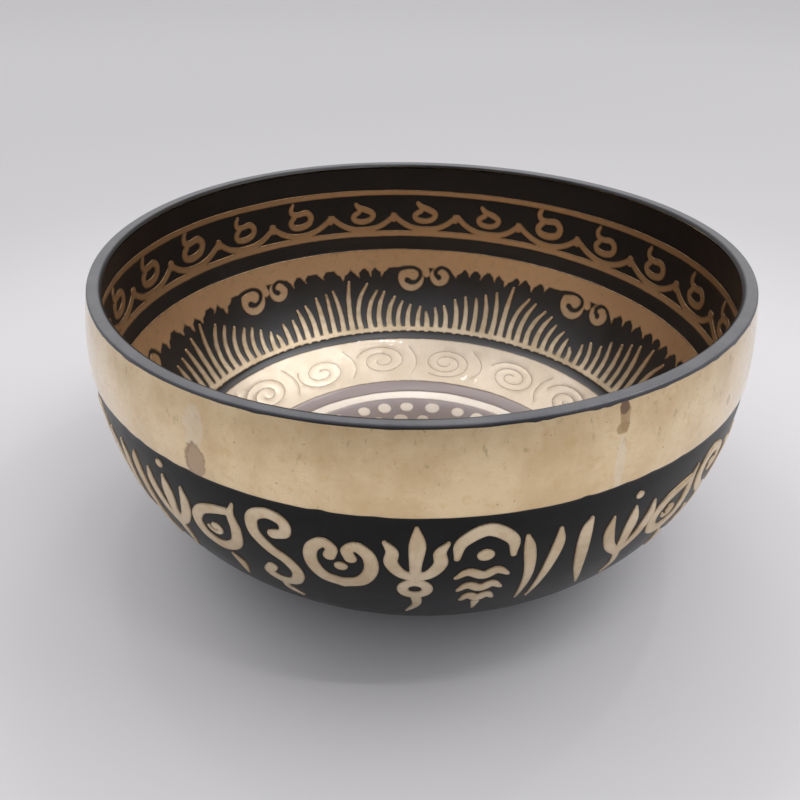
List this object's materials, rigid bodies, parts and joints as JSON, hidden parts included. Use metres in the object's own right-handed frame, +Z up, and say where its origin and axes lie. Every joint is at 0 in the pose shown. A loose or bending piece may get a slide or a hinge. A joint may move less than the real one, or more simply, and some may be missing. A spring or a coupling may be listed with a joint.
{
  "type": "singing bowl",
  "caption": "Hand-finished brass singing bowl with a flat foot, a slightly closed rim and etched bands coated in black lacquer.",
  "frame": {"origin": "centre of the flat foot, on the surface the bowl stands on", "axes": "+Z up along the bowl's axis; the bowl is round, so X and Y are free"},
  "size_m": [0.15, 0.15, 0.07],
  "materials": {
    "polished_brass": "polished, hand-buffed, faint tarnish",
    "black_lacquer": "semi-gloss black lacquer",
    "rim_lacquer": "satin blue-black lacquer"
  },
  "bodies": {
    "root": {"bowl_shell": "polished_brass", "rim_lacquer": "rim_lacquer", "lip_lacquer": "black_lacquer", "loop_field_lacquer": "black_lacquer", "upper_ring_lacquer": "black_lacquer", "grass_field_lacquer": "black_lacquer", "middle_ring_lacquer": "black_lacquer", "lower_ring_lacquer": "black_lacquer", "floor_field_lacquer": "black_lacquer", "outer_field_lacquer": "black_lacquer"}
  },
  "joints": []
}
